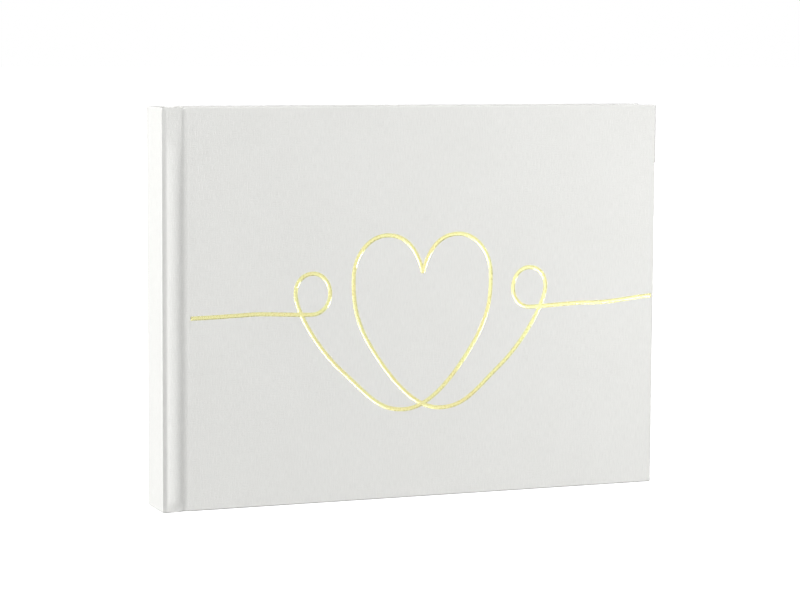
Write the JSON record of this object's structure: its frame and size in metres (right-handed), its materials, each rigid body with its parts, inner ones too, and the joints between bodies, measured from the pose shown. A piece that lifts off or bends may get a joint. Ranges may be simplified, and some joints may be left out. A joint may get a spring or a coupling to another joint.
{
  "type": "wedding guest book",
  "caption": "Landscape hardback guest book in off-white cloth with square spine, ridged joints, opening covers, turning leaves and a gold foil line flourish.",
  "frame": {"origin": "middle of the footprint, at the tail edge that the closed book stands on", "axes": "+X runs from the spine to the fore edge, +Z from tail to head, and the front cover faces -Y"},
  "size_m": [0.236, 0.0226, 0.175],
  "materials": {
    "cover_cloth": "fine plain-weave linen book cloth, off-white, matt",
    "greyboard": "raw grey board",
    "endpaper": "heavy uncoated endpaper, off-white",
    "page_paper": "uncoated writing paper, white",
    "gold_foil": "hot-stamped pale gold foil, bright",
    "mull": "open cotton mull set in glue",
    "liner": "brown kraft lining paper",
    "thread": "waxed linen thread",
    "band": "woven cotton band with a corded bead"
  },
  "bodies": {
    "spine_and_block": {"spine_board": "greyboard", "spine_cloth": "cover_cloth", "spine_mull": "mull", "spine_liner": "liner", "sewing_thread": "thread", "headband": "band", "tailband": "band", "front_joint_cloth": "cover_cloth", "front_endpaper_hinge": "endpaper", "front_leaf_folds": "page_paper", "back_joint_cloth": "cover_cloth", "back_endpaper_hinge": "endpaper", "back_leaf_folds": "page_paper", "section_1": "page_paper", "section_2": "page_paper", "section_3": "page_paper", "section_4": "page_paper", "section_5": "page_paper", "section_6": "page_paper", "section_7": "page_paper", "section_8": "page_paper"},
    "front_cover": {"front_board": "greyboard", "front_cover_cloth": "cover_cloth", "front_pastedown": "endpaper", "foil_flourish": "gold_foil"},
    "back_cover": {"back_board": "greyboard", "back_cover_cloth": "cover_cloth", "back_pastedown": "endpaper"},
    "front_flyleaf": {"front_flyleaf": "endpaper"},
    "front_leaf_1": {"front_leaf_1": "page_paper"},
    "front_leaf_2": {"front_leaf_2": "page_paper"},
    "front_leaf_3": {"front_leaf_3": "page_paper"},
    "front_leaf_4": {"front_leaf_4": "page_paper"},
    "front_leaf_5": {"front_leaf_5": "page_paper"},
    "front_leaf_6": {"front_leaf_6": "page_paper"},
    "back_flyleaf": {"back_flyleaf": "endpaper"},
    "back_leaf_1": {"back_leaf_1": "page_paper"},
    "back_leaf_2": {"back_leaf_2": "page_paper"},
    "back_leaf_3": {"back_leaf_3": "page_paper"},
    "back_leaf_4": {"back_leaf_4": "page_paper"}
  },
  "joints": [
    {"name": "front_cover_open", "type": "hinge", "parent": "spine_and_block", "child": "front_cover", "pos_m": [-0.1085, -0.01135, 0], "axis": [0, 0, -1], "range_deg": [0, 178]},
    {"name": "front_flyleaf_turn", "type": "hinge", "parent": "spine_and_block", "child": "front_flyleaf", "pos_m": [-0.1045, -0.00695, 0], "axis": [0, 0, -1], "range_deg": [0, 112.14]},
    {"name": "front_leaf_1_turn", "type": "hinge", "parent": "spine_and_block", "child": "front_leaf_1", "pos_m": [-0.1045, -0.00695, 0], "axis": [0, 0, -1], "range_deg": [0, 96.12]},
    {"name": "front_leaf_2_turn", "type": "hinge", "parent": "spine_and_block", "child": "front_leaf_2", "pos_m": [-0.1045, -0.00695, 0], "axis": [0, 0, -1], "range_deg": [0, 80.1]},
    {"name": "front_leaf_3_turn", "type": "hinge", "parent": "spine_and_block", "child": "front_leaf_3", "pos_m": [-0.1045, -0.00695, 0], "axis": [0, 0, -1], "range_deg": [0, 64.08]},
    {"name": "front_leaf_4_turn", "type": "hinge", "parent": "spine_and_block", "child": "front_leaf_4", "pos_m": [-0.1045, -0.00695, 0], "axis": [0, 0, -1], "range_deg": [0, 48.06]},
    {"name": "front_leaf_5_turn", "type": "hinge", "parent": "spine_and_block", "child": "front_leaf_5", "pos_m": [-0.1045, -0.00695, 0], "axis": [0, 0, -1], "range_deg": [0, 32.04]},
    {"name": "front_leaf_6_turn", "type": "hinge", "parent": "spine_and_block", "child": "front_leaf_6", "pos_m": [-0.1045, -0.00695, 0], "axis": [0, 0, -1], "range_deg": [0, 16.02]},
    {"name": "back_cover_open", "type": "hinge", "parent": "spine_and_block", "child": "back_cover", "pos_m": [-0.1085, 0.01135, 0], "axis": [0, 0, 1], "range_deg": [0, 178]},
    {"name": "back_flyleaf_turn", "type": "hinge", "parent": "spine_and_block", "child": "back_flyleaf", "pos_m": [-0.1045, 0.00695, 0], "axis": [0, 0, 1], "range_deg": [0, 112.14]},
    {"name": "back_leaf_1_turn", "type": "hinge", "parent": "spine_and_block", "child": "back_leaf_1", "pos_m": [-0.1045, 0.00695, 0], "axis": [0, 0, 1], "range_deg": [0, 89]},
    {"name": "back_leaf_2_turn", "type": "hinge", "parent": "spine_and_block", "child": "back_leaf_2", "pos_m": [-0.1045, 0.00695, 0], "axis": [0, 0, 1], "range_deg": [0, 65.86]},
    {"name": "back_leaf_3_turn", "type": "hinge", "parent": "spine_and_block", "child": "back_leaf_3", "pos_m": [-0.1045, 0.00695, 0], "axis": [0, 0, 1], "range_deg": [0, 42.72]},
    {"name": "back_leaf_4_turn", "type": "hinge", "parent": "spine_and_block", "child": "back_leaf_4", "pos_m": [-0.1045, 0.00695, 0], "axis": [0, 0, 1], "range_deg": [0, 19.58]}
  ],
  "couplings": [
    {"joint": "front_flyleaf_turn", "follows": "front_cover_open", "ratio": 0.63},
    {"joint": "front_leaf_1_turn", "follows": "front_cover_open", "ratio": 0.54},
    {"joint": "front_leaf_2_turn", "follows": "front_cover_open", "ratio": 0.45},
    {"joint": "front_leaf_3_turn", "follows": "front_cover_open", "ratio": 0.36},
    {"joint": "front_leaf_4_turn", "follows": "front_cover_open", "ratio": 0.27},
    {"joint": "front_leaf_5_turn", "follows": "front_cover_open", "ratio": 0.18},
    {"joint": "front_leaf_6_turn", "follows": "front_cover_open", "ratio": 0.09},
    {"joint": "back_flyleaf_turn", "follows": "back_cover_open", "ratio": 0.63},
    {"joint": "back_leaf_1_turn", "follows": "back_cover_open", "ratio": 0.5},
    {"joint": "back_leaf_2_turn", "follows": "back_cover_open", "ratio": 0.37},
    {"joint": "back_leaf_3_turn", "follows": "back_cover_open", "ratio": 0.24},
    {"joint": "back_leaf_4_turn", "follows": "back_cover_open", "ratio": 0.11}
  ]
}
